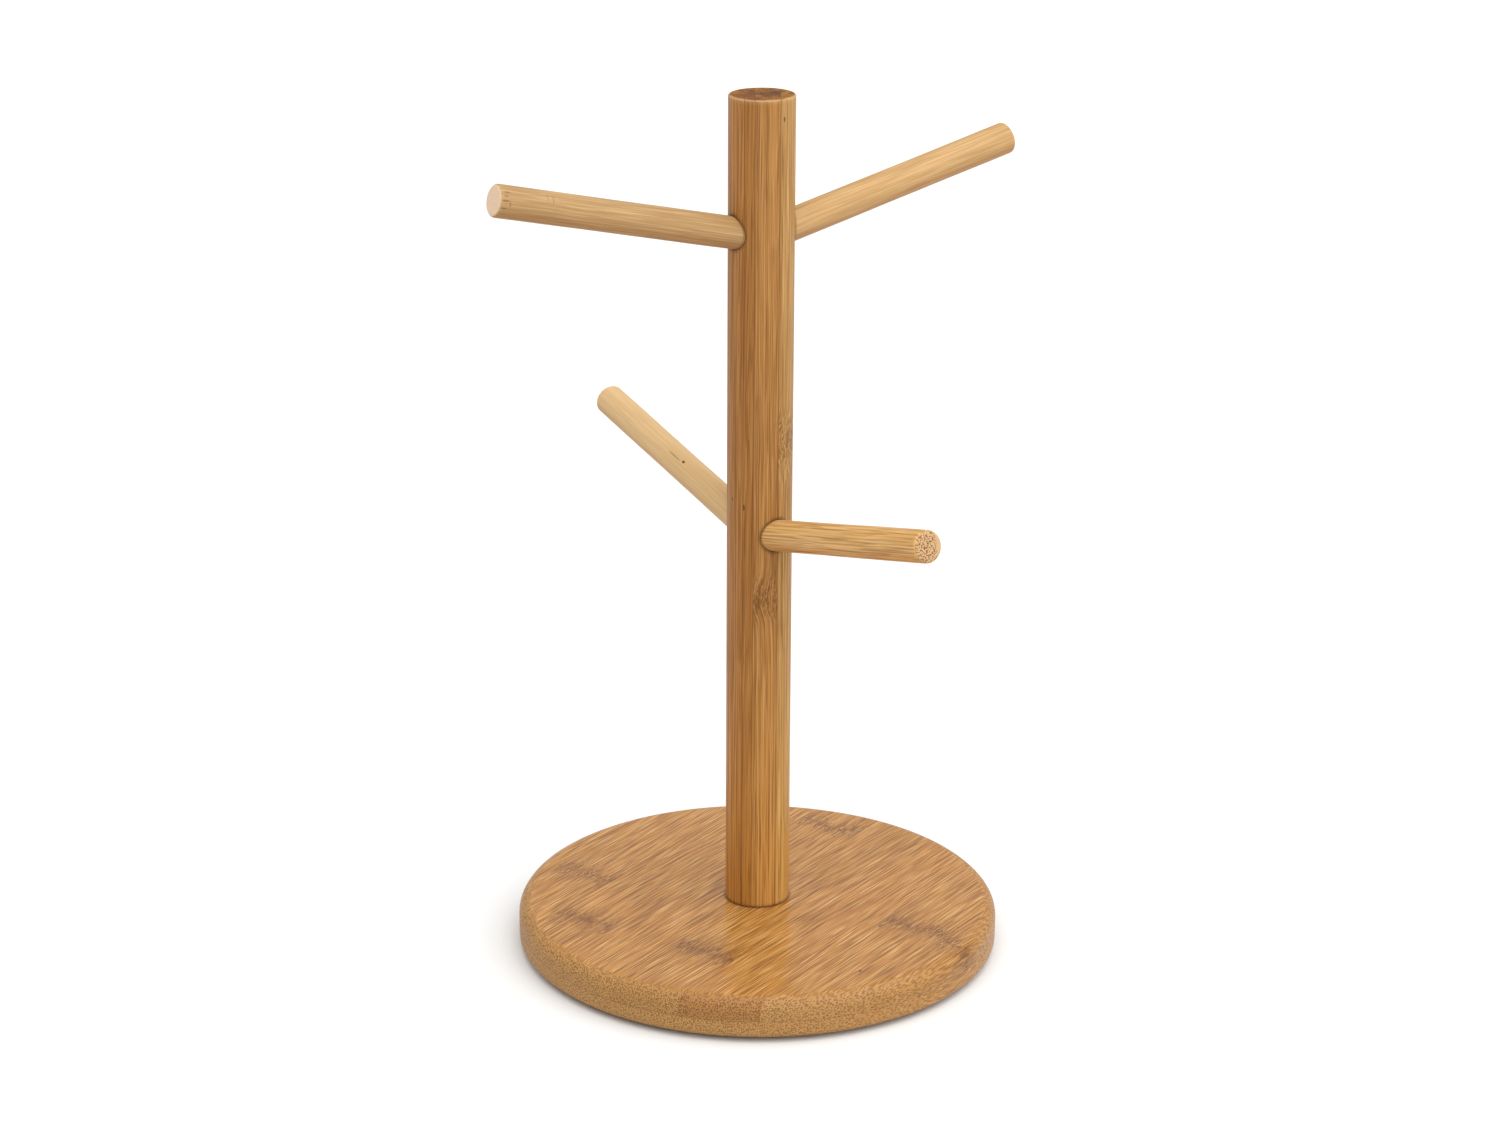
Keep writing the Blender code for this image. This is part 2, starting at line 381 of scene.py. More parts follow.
    relief = 0.50 * streak - 0.45 * bundle + 0.40 * stroke - 0.4 * ridge - 1.2 * lowered
    dull = look["rough"] + 0.18 * (0.5 - streak) + 0.12 * bundle
    dull = dull + 0.10 * cutEnd + 0.08 * worn + 0.1 * grimeAndJointShade
    wood.principled(**{"Base Color": tone, "Roughness": dull,
                       "Normal": wood.bump(relief, look["relief"] * mm),
                       "Coat Weight": look["coat"] * (1 - 0.9 * cutEnd),
                       "Coat Roughness": look["coatRough"], "Specular IOR Level": look["gloss"]})
    return wood.material


plainTone = (1.0, 1.0, 1.0)
plainBamboo = {
    "alongTones": [],                              # (from, to, how much, tone) along the grain
    "paintedUnderShadeFade": (0.0, -1.0),                      # from where to where, through the piece, the painted shade darkens it
    "paintedUnderShadeTone": plainTone,
    "bundleFloor": 1.0,                            # bundles are as dense all over the piece
    "denseFrom": -100.0, "denseTo": -99.0,
    "tilt": 0.0, "arch": 0.0, "endStain": 0.0,
    "seams": [], "marks": [],
}

boardLook = {
    "columns": 448,
    "topRounding": 4.5 * mm,
    "lowerRounding": 2.0 * mm,
    "glueLine": 0.12 * mm,       # tiny chamfer on each side of the glue line
    "grainDegrees": 54.6,        # direction of the fibres in plan
    "handSanding": 0.05 * mm,    # how far the rim wavers from a true circle
    "sandedOff": 0.0007,         # share of the radius that sanding takes off
    "topWaver": 0.03 * mm,
    "rimFade": 2.5 * mm,         # width in which the top turns into the rim
    "bore": 2.4 * mm,            # radius of the screw's hole
    "sinkRadius": 4.3 * mm,      # the countersink for the screw's head
    "sinkDepth": 3.4 * mm,
    "sinkWall": 0.8 * mm,        # height of the straight wall below its cone
    "footRings": (9.0 * mm, 11.5 * mm),    # rings stand closer round the post's foot
    "footGrimeAndShade": (10.0 * mm, 0.9 * mm),    # radius and half width of the grime and painted contact shade there
}

boardBamboo = {
    **plainBamboo, "span": 80.0, "shift": 3.7, "tilt": 0.5,
    # for each strip: where it starts, where its node is along it, its tone, and the tone of its cut end
    "strips": [(-80.0, -60.0, (1.04, 1.05, 1.07), (0.93, 0.92, 0.90)),
               (-65.2, -18.7, (1.04, 1.05, 1.07), (0.95, 0.94, 0.92)),
               (-43.6, -46.3, (1.02, 1.02, 1.01), (1.02, 1.04, 1.05)),
               (-22.0, 59.0, (1.03, 1.03, 1.03), (1.00, 1.02, 1.03)),
               (-0.4, -43.3, (0.98, 0.98, 0.97), (0.98, 0.98, 0.98)),
               (21.2, 150.0, (1.02, 1.01, 1.00), (0.84, 0.76, 0.71)),
               (42.8, 8.0, (1.01, 1.02, 1.04), (1.01, 1.02, 1.03)),
               (64.4, 4.0, (0.99, 0.99, 0.99), (1.00, 1.01, 1.01))],
    "dark": (0.280, 0.112, 0.018), "light": (0.504, 0.236, 0.053), "warm": (0.400, 0.168, 0.031),
    "paleLine": (0.690, 0.425, 0.165), "pale": 0.58, "darkLines": 0.74, "broad": 0.35,
    "fibre": (0.160, 0.060, 0.012), "knot": (0.170, 0.064, 0.015), "end": (0.388, 0.231, 0.091),
    "wornTone": (0.430, 0.225, 0.080), "pit": (0.050, 0.018, 0.006),
    # bundles of fibre: their spacing in millimetres, their size in it, and how dark they are
    "cell": 0.59, "bundle": 0.42, "bundleLong": 0.24, "bundleEnd": 0.85,
    # how far the fibres stray, in millimetres, and how many streaks and strokes a millimetre has
    "wander": 0.5, "swirl": 0.8, "streakAcross": 3.2, "streakAlong": 0.045,
    "strokeAcross": 2.7, "strokeAlong": 0.060,
    # the node: widths and straying in millimetres, then how dark, and how many dashes a millimetre has
    "knotWidth": 5.2, "ridgeWidth": 0.60, "knotDrift": 9.0, "knotRagged": 16.0, "knotVeil": 0.20,
    "knotFlecks": 0.62, "knotCore": 0.42, "dashAcross": 2.4, "dashAlong": 0.17, "dashFrom": 0.49,
    "endDark": 0.55, "wear": 0.12, "grimeAndJointShade": 0.7, "relief": 0.060,
    "seams": [-65.2, -43.6, -22.0, -0.4, 21.2, 42.8, 64.4], "seamDark": 0.35,
    "marks": [(56.2, 14.1, -27.4, 0.40, 0.7, 0.85)],
    "rough": 0.44, "coat": 0.40, "coatRough": 0.18, "gloss": 0.22,
}

lowerBamboo = {
    **boardBamboo, "shift": 41.3, "seams": [-52.0, -8.0, 36.0], "seamDark": 0.15, "marks": [],
    "strips": [(-80.0, 30.0, (0.98, 0.98, 0.98), (1.04, 1.06, 1.12)),
               (-52.0, -150.0, (1.01, 1.01, 1.02), (1.05, 1.08, 1.16)),
               (-8.0, 150.0, (1.00, 1.01, 1.02), (1.02, 1.05, 1.06)),
               (36.0, -120.0, (1.02, 1.02, 1.03), (1.00, 1.03, 1.04))],
}


def boardGrain(points):
    # turns plan coordinates so that the third one runs along the fibres, in millimetres
    turn = math.radians(boardLook["grainDegrees"])
    along = points[:, 0] * math.cos(turn) + points[:, 1] * math.sin(turn)
    across = points[:, 0] * math.sin(turn) - points[:, 1] * math.cos(turn)
    return np.stack([across, points[:, 2], along], axis=1) / mm


def sandedBoard(grid, rim, waver):
    # the rim wavers by a sum of slow waves round the board, and the top by long shallow waves
    x, y, z = grid[:, :, 0], grid[:, :, 1], grid[:, :, 2]
    angle = np.arctan2(y, x)
    waves = 0.5 * np.sin(3 * angle + 0.7) + 0.3 * np.sin(7 * angle + 2.1) + 0.2 * np.sin(13 * angle)
    atRim = (np.hypot(x, y) / rim) ** 4
    grow = 1 + boardLook["handSanding"] * waves / rim * atRim - boardLook["sandedOff"]
    swell = np.sin(x * 90 + 0.6) * np.cos(y * 70 - 0.3)
    return np.stack([x * grow, y * grow, z + waver * swell], axis=2)


def boardEdges(points, grain, rimStart):
    # worn is high in the middle of the rounded rim, cut end is how squarely the surface cuts the
    # fibres, which is (along / radius), and grime with painted contact shade rings the post's foot
    radius = np.hypot(points[:, 0], points[:, 1])
    facing = np.abs(grain[:, 2] * mm) / np.maximum(radius, hair)
    onRim = ramp(radius, rimStart, rimStart + boardLook["rimFade"])
    grimeShadeAt, grimeShadeWidth = boardLook["footGrimeAndShade"]
    grimeAndJointShade = ramp(np.abs(radius - grimeShadeAt), grimeShadeWidth, 0)
    return np.stack([onRim * (1 - onRim) * 4, onRim * (0.35 + 0.65 * facing), grimeAndJointShade], axis=1)


def addBoard(name, grid, rimStart, finish, node):
    mesh = surfaceMesh(name, grid, ring=True)
    places = meshPoints(mesh)
    grain = boardGrain(places)
    writeAttribute(mesh, "grain", grain)
    writeAttribute(mesh, "edges", boardEdges(places, grain, rimStart))
    addPiece(name, mesh, finish, [node])


def makeBoard():
    low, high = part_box("base_upper_layer")
    lowerLow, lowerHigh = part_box("base_lower_layer")
    outer, bore, top, under = high.x, boardLook["bore"], high.z, lowerLow.z
    joint = (low.z + lowerHigh.z) / 2
    line, curve, ease = boardLook["glueLine"], boardLook["topRounding"], boardLook["lowerRounding"]
    ringStart, ringEnd = boardLook["footRings"]
    turns = roundTurns(boardLook["columns"])

    profile = np.concatenate([
        straight((bore, joint), (outer - line, joint), 12),
        straight((outer - line, joint), (outer, joint + line), 2),
        straight((outer, joint + line), (outer, top - curve), 6),
        bow((outer - curve, top - curve), curve, 0, 90, 14)[:-1],
        straight((outer - curve, top), (ringEnd, top), 60),
        straight((ringEnd, top), (ringStart, top), 10),
        straight((ringStart, top), (bore, top), 4),
        straight((bore, top), (bore, joint), 2)])
    grid = sandedBoard(turnedGrid(profile, turns), outer, boardLook["topWaver"])
    finish = bambooFinish("board_bamboo", boardBamboo)
    addBoard("board_upper", grid, outer - curve * 0.9, finish, "base_upper_layer")

    sink, coneTop, coneFoot = boardLook["sinkRadius"], boardLook["sinkDepth"], boardLook["sinkWall"]
    profile = np.concatenate([
        straight((sink, under), (outer - ease, under), 40),
        bow((outer - ease, under + ease), ease, -90, 0, 8)[:-1],
        straight((outer, under + ease), (outer, joint - line), 4),
        straight((outer, joint - line), (outer - line, joint), 2),
        straight((outer - line, joint), (bore, joint), 12),
        straight((bore, joint), (bore, under + coneTop), 2),
        straight((bore, under + coneTop), (sink, under + coneFoot), 4),
        straight((sink, under + coneFoot), (sink, under), 2)])
    grid = sandedBoard(turnedGrid(profile, turns), outer, 0.0)
    finish = bambooFinish("board_under_bamboo", lowerBamboo)
    addBoard("board_lower", grid, outer - ease * 1.2, finish, "base_lower_layer")


pegLook = {
    "columns": 96,
    "radius": 4.85 * mm,
    "tipRounding": 1.2 * mm,
    "tipInset": 0.12 * mm,      # sanded off the sawn end
    "rootEdge": 0.4 * mm,       # chamfer on the end inside the post
    "leaving": (9.0 * mm, 12.5 * mm),    # rings stand closer where the peg leaves the post
    "waver": 0.05 * mm,         # how far a hand-sanded dowel is from true
    "glueAndJointShade": (0.1 * mm, 0.5 * mm),        # distance from the post and half width of the glue's grime and painted joint shade
}

pegBamboo = {
    **plainBamboo, "span": 8.0,
    # one strip in two stops, with its node beyond the peg's end
    "strips": [(-8.0, 150.0, plainTone, plainTone), (7.9, 150.0, plainTone, plainTone)],
    "dark": (0.455, 0.265, 0.105), "light": (0.540, 0.332, 0.140), "warm": (0.480, 0.280, 0.108),
    "paleLine": (0.640, 0.430, 0.210), "pale": 0.30, "darkLines": 0.20, "broad": 0.35,
    "fibre": (0.310, 0.155, 0.050), "knot": (0.230, 0.110, 0.040), "end": (0.560, 0.370, 0.200),
    "wornTone": (0.600, 0.400, 0.200), "pit": (0.170, 0.070, 0.022),
    "cell": 0.62, "bundle": 0.46, "bundleLong": 0.10, "bundleEnd": 0.45,
    # painted shade: each peg is darkened in its colour towards its lower side
    "paintedUnderShadeFade": (0.8, -4.2), "paintedUnderShadeTone": (0.80, 0.69, 0.60),
    "wander": 0.4, "swirl": 0.6, "streakAcross": 2.3, "streakAlong": 0.050,
    "strokeAcross": 1.7, "strokeAlong": 0.050,
    "knotWidth": 2.0, "ridgeWidth": 0.4, "knotDrift": 3.0, "knotRagged": 3.0, "knotVeil": 0.2,
    "knotFlecks": 0.3, "knotCore": 0.3, "dashAcross": 1.4, "dashAlong": 0.3, "dashFrom": 0.52,
    "endDark": 0.65, "wear": 0.30, "grimeAndJointShade": 0.90, "relief": 0.020,
    "rough": 0.50, "coat": 0.05, "coatRough": 0.30, "gloss": 0.25,
}

pegs = {
    "peg_upper_left": {
        "piece": "peg_left", "shift": 12.0,
        "dark": (0.365, 0.214, 0.086), "light": (0.435, 0.272, 0.114), "warm": (0.400, 0.238, 0.096),
        "end": (0.730, 0.535, 0.375), "endDark": 0.9, "bundleEnd": 0.12,
        "marks": [(3.9, 2.9, 72.8, 1.5, 0.20, 0.40), (3.6, 3.3, 74.6, 1.3, 0.16, 0.35),
                  (4.8, 1.0, 88.2, 0.30, 1.3, 0.65), (4.4, 2.4, 88.0, 0.25, 0.9, 0.65),
                  (4.7, -1.2, 88.3, 0.25, 0.8, 0.65), (3.6, 3.3, 87.6, 0.25, 0.8, 0.55),
                  (4.8, 0.2, 86.6, 0.90, 0.25, 0.45)]},
    "peg_upper_right": {
        "piece": "peg_right", "shift": 31.0},
    "peg_lower_back": {
        "piece": "peg_back", "shift": 57.0,
        "dark": (0.560, 0.368, 0.172), "light": (0.610, 0.412, 0.202), "pit": (0.110, 0.040, 0.012),
        "darkLines": 0.06, "pale": 0.10, "bundleLong": 0.04,
        "marks": [(2.85, 3.92, 40.2, 0.45, 0.60, 1.00), (3.2, 3.6, 44.8, 0.25, 3.2, 0.45)]},
    "peg_lower_front": {
        "piece": "peg_front", "shift": 83.0,
        "dark": (0.500, 0.262, 0.078), "light": (0.695, 0.410, 0.142), "warm": (0.615, 0.338, 0.100),
        "end": (0.540, 0.355, 0.190), "fibre": (0.200, 0.080, 0.024), "endDark": 0.8, "cell": 0.66,
        "bundle": 0.44, "bundleLong": 0.18, "bundleEnd": 1.0, "bundleFloor": 0.06,
        "denseFrom": 3.2, "denseTo": 1.7, "darkLines": 0.45, "pale": 0.5},
}


def pegFrame(node):
    # the peg's longest direction through its middle meets the post's axis at the crossing point;
    # gives that point, the peg's own axes (side, up, along) and its two ends along it
    places = meshPoints(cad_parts[node].data)
    middle = places.mean(axis=0)
    along = Vector(np.linalg.svd(places - middle, full_matrices=False)[2][0])
    along = along if along.z > 0 else -along
    side = Vector((0, 0, 1)).cross(along).normalized()
    outwards = math.hypot(middle[0], middle[1]) / math.hypot(along.x, along.y)
    crossing = middle - np.array(along) * outwards
    axes = np.array([side, along.cross(side), along])
    reach = (places - crossing) @ axes[2]
    return crossing, axes, reach.min(), reach.max()


def standAlong(points, crossing, axes):
    # from the peg's own (side, up, along) to the frame
    return crossing + points @ axes


def makePeg(node, choice):
    crossing, axes, root, tip = pegFrame(node)
    tip -= pegLook["tipInset"]
    look = {**pegBamboo, **choice}
    radius, curve, edge = pegLook["radius"], pegLook["tipRounding"], pegLook["rootEdge"]
    leaveStart, leaveEnd = pegLook["leaving"]
    profile = np.concatenate([
        [(0.0, root)],
        straight((radius * 0.3, root), (radius - edge, root), 4),
        straight((radius - edge, root), (radius, root + edge), 2),
        straight((radius, root + edge), (radius, leaveStart), 8),
        straight((radius, leaveStart), (radius, leaveEnd), 16),
        straight((radius, leaveEnd), (radius, tip - curve), 84),
        bow((radius - curve, tip - curve), curve, 0, 90, 10),
        straight((radius - curve - 0.25 * mm, tip), (0.3 * mm, tip), 12),
        [(0.0, tip)]])
    grid = turnedGrid(profile, roundTurns(pegLook["columns"]))
    x, y, along = grid[:, :, 0], grid[:, :, 1], grid[:, :, 2]
    # a dowel's thickness wavers slowly along it and is a touch oval
    angle = np.arctan2(y, x)
    phase = look["shift"]
    waver = np.sin(along * 95 + phase) + 0.6 * np.sin(2 * angle + phase)
    waver = waver + 0.3 * np.sin(along * 260 + 3 * angle)
    grow = 1 + pegLook["waver"] * (waver - 1.2) / (1.9 * radius)
    # the sawn end is a little hollow and tilted, with faint rings from the saw
    level = np.hypot(x, y) / radius
    hollow = 0.04 * level * np.cos(angle + phase) - 0.10 * (1 - level)
    hollow = hollow + 0.004 * np.sin(level * 24) - 0.02
    sawn = ramp(along, tip - hair, tip) * mm * hollow
    local = np.stack([x * grow, y * grow, along + sawn], axis=2)
    mesh = surfaceMesh(choice["piece"], standAlong(local, crossing, axes))
    # the lip is worn, the end is cut, and glue grime with painted joint shade darkens where the peg leaves
    # the post
    places = meshPoints(mesh)
    own = (places - crossing) @ axes.T
    level = np.hypot(own[:, 0], own[:, 1]) / radius
    onEnd = ramp(own[:, 2], tip - 0.45 * mm, tip - 0.15 * mm)
    lip = ramp(own[:, 2], tip - curve, tip) * ramp(level, 0.6, 0.9)
    outOfPost = np.hypot(places[:, 0], places[:, 1]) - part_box("post")[1].x
    glueShadeAt, glueShadeWidth = pegLook["glueAndJointShade"]
    glueAndJointShade = ramp(np.abs(outOfPost - glueShadeAt), glueShadeWidth, 0)
    writeAttribute(mesh, "grain", own / mm)
    writeAttribute(mesh, "edges", np.stack([lip, onEnd, glueAndJointShade], axis=1))
    addPiece(choice["piece"], mesh, bambooFinish(choice["piece"] + "_bamboo", look), [node])


postSeams = [-5.2, -2.1, 5.3]       # glued strips meet on these planes across X, in millimetres
postLook = {
    "columns": 168,
    "seamWidth": 0.10 * mm,
    "seamDepth": 0.05 * mm,
    "seamTurn": 0.03,           # radians on each side of a seam that its own columns cover
    "topRounding": 0.6 * mm,
    "footEdge": 0.35 * mm,
    "footGap": 0.02 * mm,       # between the post's foot and the board
    "socketGap": 0.14 * mm,     # round a peg
    "socketFloor": 0.3 * mm,    # below a peg's root
    "drillEnd": 20 * mm,        # how far from the post's axis the drills reach
    "waver": 0.04 * mm,
}

postBamboo = {
    **plainBamboo, "span": 14.0, "shift": 7.9, "tilt": 0.10,
    "strips": [(-14.0, 420.0, (0.97, 0.90, 0.80), plainTone), (-5.2, 420.0, (0.86, 0.79, 0.61), plainTone),
               (-2.1, 116.0, (1.00, 1.00, 0.94), plainTone), (5.3, 166.0, (1.10, 1.25, 1.32), plainTone)],
    "dark": (0.288, 0.124, 0.030), "light": (0.400, 0.192, 0.059), "warm": (0.360, 0.158, 0.041),
    "paleLine": (0.560, 0.325, 0.115), "pale": 0.45, "darkLines": 0.58, "broad": 0.40,
    "fibre": (0.150, 0.054, 0.010), "knot": (0.140, 0.052, 0.010), "end": (0.300, 0.114, 0.013),
    "wornTone": (0.620, 0.410, 0.200), "pit": (0.070, 0.023, 0.004),
    "cell": 0.70, "bundle": 0.44, "bundleLong": 0.28, "bundleEnd": 0.50,
    "alongTones": [(115.0, 20.0, 0.75, (0.530, 0.246, 0.058)),
                   (180.0, 250.0, 0.62, (0.418, 0.198, 0.062))],
    "wander": 0.7, "swirl": 0.6, "arch": 1.6, "streakAcross": 3.3, "streakAlong": 0.026,
    "strokeAcross": 2.9, "strokeAlong": 0.030,
    "knotWidth": 5.2, "ridgeWidth": 0.4, "knotDrift": 4.0, "knotRagged": 5.0, "knotVeil": 0.06,
    "knotFlecks": 0.66, "knotCore": 0.08, "dashAcross": 2.5, "dashAlong": 0.62, "dashFrom": 0.50,
    "endDark": 0.94, "endStain": 0.75, "wear": 0.70, "grimeAndJointShade": 0.75, "relief": 0.045,
    "seams": postSeams, "seamDark": 0.45,
    "marks": [(-8.3, -5.5, 146.9, 0.25, 0.6, 0.85), (-4.9, -8.6, 145.2, 0.28, 1.0, 0.85),
              (6.4, -7.6, 263.0, 0.28, 0.8, 0.80), (3.3, -9.37, 45.0, 0.22, 22.0, 0.55),
              (3.2, -9.40, 154.0, 0.20, 15.0, 0.40), (2.2, 0.6, 269.0, 3.4, 1.5, 0.62),
              (-2.4, 1.8, 269.0, 2.8, 1.5, 0.45), (5.0, 3.5, 269.0, 2.0, 1.5, 0.35)],
    "rough": 0.46, "coat": 0.08, "coatRough": 0.24, "gloss": 0.12,
}


def seamTurns(radius):
    # angles of the columns: evenly spaced, with a few more where a seam reaches the surface,
    # which is at the angle whose cosine is (seam / radius), on both sides
    even, spread = roundTurns(postLook["columns"]), postLook["seamTurn"]
    across = np.array(postSeams) * mm / radius
    seams = np.concatenate([np.arccos(across), -np.arccos(across)]) % (2 * np.pi)
    near = (seams[:, None] + np.linspace(-spread, spread, 7)[None, :]).ravel()
    far = even[np.min(np.abs(even[:, None] - seams[None, :]), axis=1) > spread + 0.005]
    return np.sort(np.concatenate([far, near % (2 * np.pi)]))


def drillSockets(post):
    # takes a round socket for every peg out of the post, and leaves a plain mesh
    cutters = []
    for node in pegs:
        crossing, axes, root = pegFrame(node)[:3]
        wide, floor = pegLook["radius"] + postLook["socketGap"], root - postLook["socketFloor"]
        end = postLook["drillEnd"]
        profile = np.array([(0.0, floor), (wide, floor), (wide, end), (0.0, end)])
        grid = turnedGrid(profile, roundTurns(pegLook["columns"]))
        cutter = addObject("drill", surfaceMesh("drill", standAlong(grid, crossing, axes)))
        hole = post.modifiers.new("socket", "BOOLEAN")
        hole.operation = "DIFFERENCE"
        hole.solver = "EXACT"
        hole.object = cutter
        cutters.append(cutter)
    drilled = bpy.data.meshes.new_from_object(post.evaluated_get(bpy.context.evaluated_depsgraph_get()))
    post.modifiers.clear()
    post.data = drilled
    for cutter in cutters:
        bpy.data.objects.remove(cutter, do_unlink=True)
    drilled.name = post.name
    smoothShade(drilled)
    return drilled


def makePost():
    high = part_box("post")[1]
    radius, top, curve, edge = high.x, high.z, postLook["topRounding"], postLook["footEdge"]
    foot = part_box("base_upper_layer")[1].z + postLook["footGap"]
    profile = np.concatenate([
        [(0.0, foot)],
        straight((radius * 0.25, foot), (radius - edge, foot), 4),
        straight((radius - edge, foot), (radius, foot + edge), 2),
        straight((radius, foot + edge), (radius, top - curve), 250),
        bow((radius - curve, top - curve), curve, 0, 90, 6),
        straight((radius - curve - 0.3 * mm, top), (0.5 * mm, top), 16),
        [(0.0, top)]])
    grid = turnedGrid(profile, seamTurns(radius))
    x, y, z = grid[:, :, 0], grid[:, :, 1], grid[:, :, 2]
    angle = np.arctan2(y, x)
    # the post's radius wavers slowly, and dips in a hairline where two strips meet
    waver = np.sin(z * 31 + 0.4) + 0.5 * np.sin(z * 77 + 2 * angle) + 0.5 * np.sin(2 * angle + 0.9)
    dip = sum(np.exp(-((x - seam * mm) / postLook["seamWidth"]) ** 2) for seam in postSeams)
    shrink = 1 + (postLook["waver"] * (waver - 1.6) / 2 - postLook["seamDepth"] * dip) / radius
    # the sawn end is a little hollow, with faint lines across it
    level = np.hypot(x, y) / radius
    hollow = 0.03 * np.sin(x * 900) * level - 0.10 * (1 - level ** 2) - 0.02
    sawn = ramp(z, top - hair, top) * mm * hollow
    mesh = surfaceMesh("post_round", np.stack([x * shrink, y * shrink, z + sawn], axis=2))
    post = addPiece("post_round", mesh, bambooFinish("post_bamboo", postBamboo), ["post"])
    mesh = drillSockets(post)
    # the lip is worn, the end and the sockets are cut, and grime with painted joint shade darkens the foot
    # and round the pegs
    places = meshPoints(mesh)
    height = places[:, 2]
    level = np.hypot(places[:, 0], places[:, 1]) / radius
    onEnd = ramp(height, top - 0.3 * mm, top - 0.1 * mm)
    lip = ramp(height, top - 0.7 * mm, top - 0.4 * mm) * ramp(level, 0.92, 0.97)
    inSocket = ramp(level, 0.985, 0.965) * (1 - onEnd)
    grimeAndJointShade = ramp(height, foot + 0.8 * mm, foot)
    for node in pegs:
        crossing, axes = pegFrame(node)[:2]
        own = (places - crossing) @ axes.T
        beyond = np.hypot(own[:, 0], own[:, 1]) - pegLook["radius"]
        grimeAndJointShade = np.maximum(grimeAndJointShade, ramp(beyond, 0.9 * mm, 0.3 * mm) * (own[:, 2] > 0))
    writeAttribute(mesh, "grain", places / mm)
    writeAttribute(mesh, "edges", np.stack([lip, np.maximum(onEnd, inSocket), grimeAndJointShade], axis=1))


screwLook = {
    "columns": 72,
    "headRadius": 4.0 * mm,
    "headHeight": 2.6 * mm,
    "headEdge": 0.15 * mm,
    "neck": 1.6 * mm,
    "point": 5 * mm,            # length of the cone at the end
    "thread": 0.5 * mm,         # how far the thread stands out of the neck
    "threadStart": 9 * mm,      # bare neck between the head and the thread
    "pitch": 2.6 * mm,
    "recessArm": 2.2 * mm,
    "recessWidth": 0.55 * mm,
    "recessDepth": 1.4 * mm,
}


def steelFinish():
    steel = Finish("zinc_steel")
    x, y, z = steel.objectAxes()
    rings = (x * x + y * y) ** 0.5
    turned = steel.noise(steel.vector(rings * 9.0, z * 4.0, 0.3), detail=3.0)
    cloud = steel.noise(steel.vector(x, y, z), scale=0.7, detail=3.0)
    tone = steel.tint(steel.fade(cloud, 0.35, 0.7), colour(0.46, 0.45, 0.42), colour(0.62, 0.61, 0.58))
    tone = steel.tint(steel.fade(cloud, 0.62, 0.8) * 0.4, tone, colour(0.30, 0.27, 0.21))
    steel.principled(**{"Base Color": tone, "Metallic": 1.0, "Roughness": 0.26 + 0.30 * turned * cloud,
                        "Normal": steel.bump(turned, 0.012 * mm)})
    return steel.material


def makeScrew():
    low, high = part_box("post_screw")
    start, end = low.z, high.z
    head, edge, neck = screwLook["headRadius"], screwLook["headEdge"], screwLook["neck"]
    headEnd, pointStart = start + screwLook["headHeight"], end - screwLook["point"]
    profile = np.concatenate([
        [(0.0, start)],
        straight((0.08 * mm, start), (head - edge, start), 44),
        bow((head - edge, start + edge), edge, -90, 0, 4),
        straight((head, start + 2 * edge), (neck, headEnd), 6),
        straight((neck, headEnd), (neck, pointStart), 220),
        straight((neck, pointStart), (0.1 * mm, end), 30),
        [(0.0, end)]])
    grid = turnedGrid(profile, roundTurns(screwLook["columns"]))
    x, y, z = grid[:, :, 0], grid[:, :, 1], grid[:, :, 2]
    angle = np.arctan2(y, x)
    # the thread is a ridge whose height follows (z / pitch - turn) from the neck to the point
    phase = (z / screwLook["pitch"] - angle / (2 * np.pi)) % 1.0
    ridge = ramp(np.abs(phase - 0.5), 0.3125, 0)
    threadStart = headEnd + screwLook["threadStart"]
    reach = ramp(z, threadStart, threadStart + 2 * mm) * ramp(z, end, end - 4 * mm)
    grow = 1 + screwLook["thread"] * ridge * reach / np.maximum(np.hypot(x, y), 0.1 * mm)
    # the cross recess tapers to its floor and cuts into the flat of the head
    inArm = np.maximum(np.abs(x), np.abs(y)) / screwLook["recessArm"]
    inWidth = np.minimum(np.abs(x), np.abs(y)) / screwLook["recessWidth"]
    wall = ramp(inArm, 1, 7 / 9) * ramp(inWidth, 5 / 4, 11 / 12)
    sunk = np.where(z < start + hair, screwLook["recessDepth"] * wall, 0)
    grid = np.stack([x * grow, y * grow, z + sunk], axis=2)
    addPiece("screw", surfaceMesh("screw", grid), steelFinish(), ["post_screw"])


padLook = {
    "columns": 96,
    "edge": 0.35 * mm,
    "draw": 0.05 * mm,          # how much narrower a pad is at its top
}


def rubberFinish():
    rubber = Finish("pad_rubber")
    spot = rubber.vector(*rubber.objectAxes())
    pores = rubber.add("ShaderNodeTexVoronoi", {}, {"Vector": spot, "Scale": 3.2})
    dust = rubber.noise(spot, scale=0.6, detail=4.0, roughness=0.65)
    pored = rubber.fade(pores, 0.1, 0.5)
    tone = rubber.tint(pored, colour(0.018, 0.018, 0.018), colour(0.045, 0.044, 0.042))
    tone = rubber.tint(rubber.fade(dust, 0.50, 0.75) * 0.45, tone, colour(0.16, 0.145, 0.12))
    rubber.principled(**{"Base Color": tone, "Roughness": 0.72 + 0.2 * dust,
                         "Normal": rubber.bump(pores + 0.4 * dust, 0.05 * mm)})
    return rubber.material


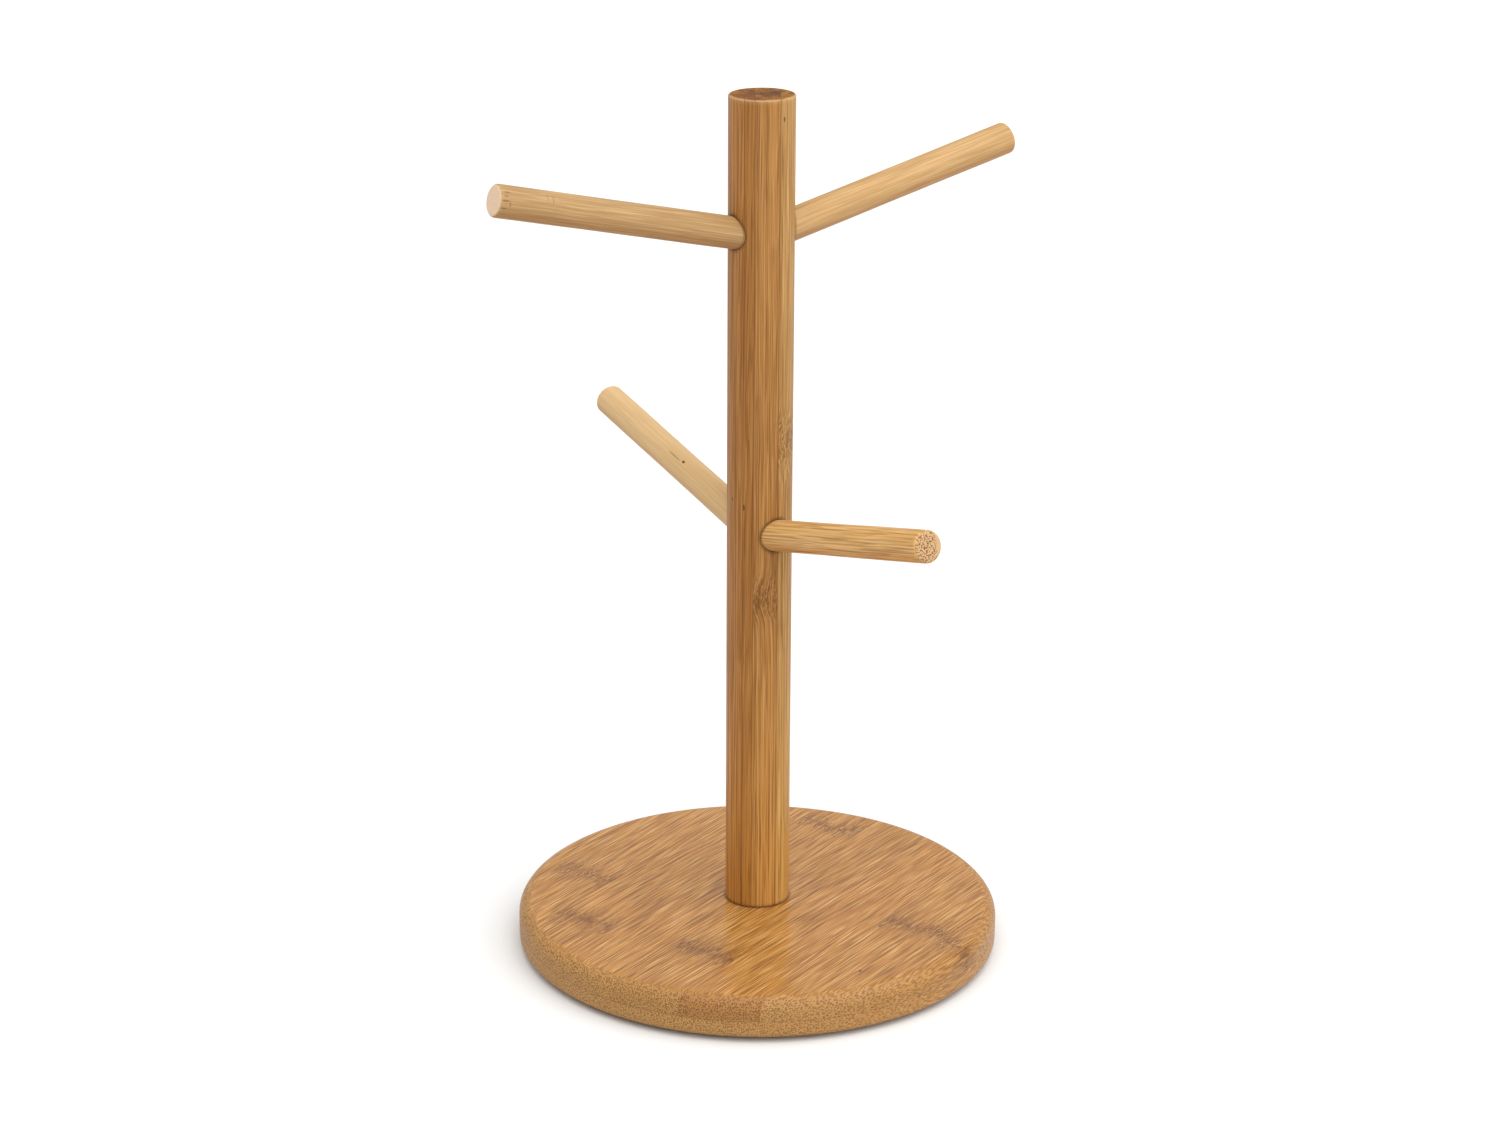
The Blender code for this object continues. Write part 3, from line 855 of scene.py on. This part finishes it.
def makePads():
    finish = rubberFinish()
    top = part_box("base_lower_layer")[0].z
    edge, draw = padLook["edge"], padLook["draw"]
    for corner in ("back_right", "back_left", "front_left", "front_right"):
        low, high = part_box("pad_" + corner)
        middle = (low + high) / 2
        radius = (high.x - low.x) / 2
        profile = np.concatenate([
            [(0.0, 0.0)],
            straight((0.5 * mm, 0.0), (radius - edge, 0.0), 12),
            bow((radius - edge, edge), edge, -90, 0, 6),
            straight((radius, edge + 0.1 * mm), (radius - draw, top), 4),
            straight((radius - draw, top), (0.5 * mm, top), 8),
            [(0.0, top)]])
        grid = turnedGrid(profile, roundTurns(padLook["columns"])) + np.array([middle.x, middle.y, 0.0])
        mesh = surfaceMesh("pad", grid)
        addPiece("pad_" + corner.replace("_", "."), mesh, finish, ["pad_" + corner])


studio = {
    "floorRadius": 40.0,
    "floorThick": 0.02,
    "floorTone": (0.77, 0.77, 0.765),
    "skyStrength": 0.72,
    "keyStrength": 2.75,
    "keySpreadDegrees": 90,
    "keyFrom": (0.32, -0.42, 1.0),
}

camera = {
    "place": (-19.25 * mm, -980.2 * mm, 462.3 * mm),
    "downDegrees": 19.0,
    "lens": 81.66,
    "sensor": 36.0,
    "shiftX": 0.036,
}


def makeStudio():
    edge, under = studio["floorRadius"], -studio["floorThick"]
    profile = np.array([(0.0, under), (edge, under), (edge, 0.0), (0.0, 0.0)])
    mesh = surfaceMesh("floor", turnedGrid(profile, roundTurns(64)))
    floor = addObject("floor", mesh)
    paper = Finish("floor_paper")
    paper.principled(**{"Base Color": colour(*studio["floorTone"]), "Roughness": 0.9})
    mesh.materials.append(paper.material)

    sky = bpy.data.worlds.new("sky")
    sky.use_nodes = True
    background = sky.node_tree.nodes["Background"]
    background.inputs["Color"].default_value = colour(1.0, 1.0, 1.0)
    background.inputs["Strength"].default_value = studio["skyStrength"]
    bpy.context.scene.world = sky

    light = bpy.data.lights.new("softbox", "SUN")
    light.energy = studio["keyStrength"]
    light.angle = math.radians(studio["keySpreadDegrees"])
    softbox = addObject("softbox", light)
    softbox.location = studio["keyFrom"]
    softbox.rotation_euler = (-Vector(studio["keyFrom"])).to_track_quat("-Z", "Y").to_euler()


def makeCamera():
    lens = bpy.data.cameras.new("view")
    lens.lens = camera["lens"]
    lens.sensor_width = camera["sensor"]
    lens.shift_x = camera["shiftX"]
    lens.clip_start, lens.clip_end = 0.01, 100.0
    view = addObject("view", lens)
    view.location = camera["place"]
    view.rotation_euler = (math.radians(90 - camera["downDegrees"]), 0.0, 0.0)
    bpy.context.scene.camera = view


makeStudio()
makeCamera()
print("studio ready")
makeBoard()
for node, choice in pegs.items():
    makePeg(node, choice)
makePost()
makeScrew()
makePads()
bpy.context.scene.view_settings.view_transform = "Standard"
